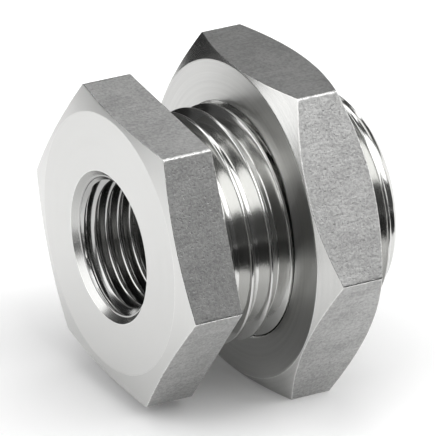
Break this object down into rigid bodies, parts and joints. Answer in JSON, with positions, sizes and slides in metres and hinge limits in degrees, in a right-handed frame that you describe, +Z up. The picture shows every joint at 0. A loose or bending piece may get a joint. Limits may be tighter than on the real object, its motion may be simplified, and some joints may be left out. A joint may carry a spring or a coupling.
{
  "type": "bulkhead push-in fitting",
  "caption": "Stainless bulkhead push-in fitting with a hexagon head, female thread, threaded barrel, lock nut and a collet port for a tube.",
  "frame": {"origin": "on the fitting's axis, in the plane of the head's rear face, where the panel seats", "axes": "+X along the axis from the threaded head towards the tube port, +Z up with a flat of the lock nut level below"},
  "size_m": [0.019, 0.0254, 0.022],
  "materials": {
    "body_steel": "turned stainless steel, satin faces and drawn hexagon flats",
    "nut_steel": "turned stainless steel with fine concentric marks, drawn hexagon flats",
    "ring_steel": "polished stainless steel",
    "seal_rubber": "smooth black rubber"
  },
  "bodies": {
    "body": {"fitting_body": "body_steel", "tube_seal": "seal_rubber", "seal_retainer": "ring_steel", "cone_sleeve": "ring_steel"},
    "nut": {"lock_nut": "nut_steel"},
    "release": {"release_ring": "ring_steel", "grip_collet": "ring_steel"}
  },
  "joints": [
    {"name": "nut_travel", "type": "slide", "parent": "body", "child": "nut", "axis": [1, 0, 0], "range_m": [-0.0045, 0.003]},
    {"name": "release_press", "type": "slide", "parent": "body", "child": "release", "axis": [-1, 0, 0], "range_m": [0, 0.0007], "stiffness_N_per_m": 1000, "springref_m": -0.0005}
  ]
}
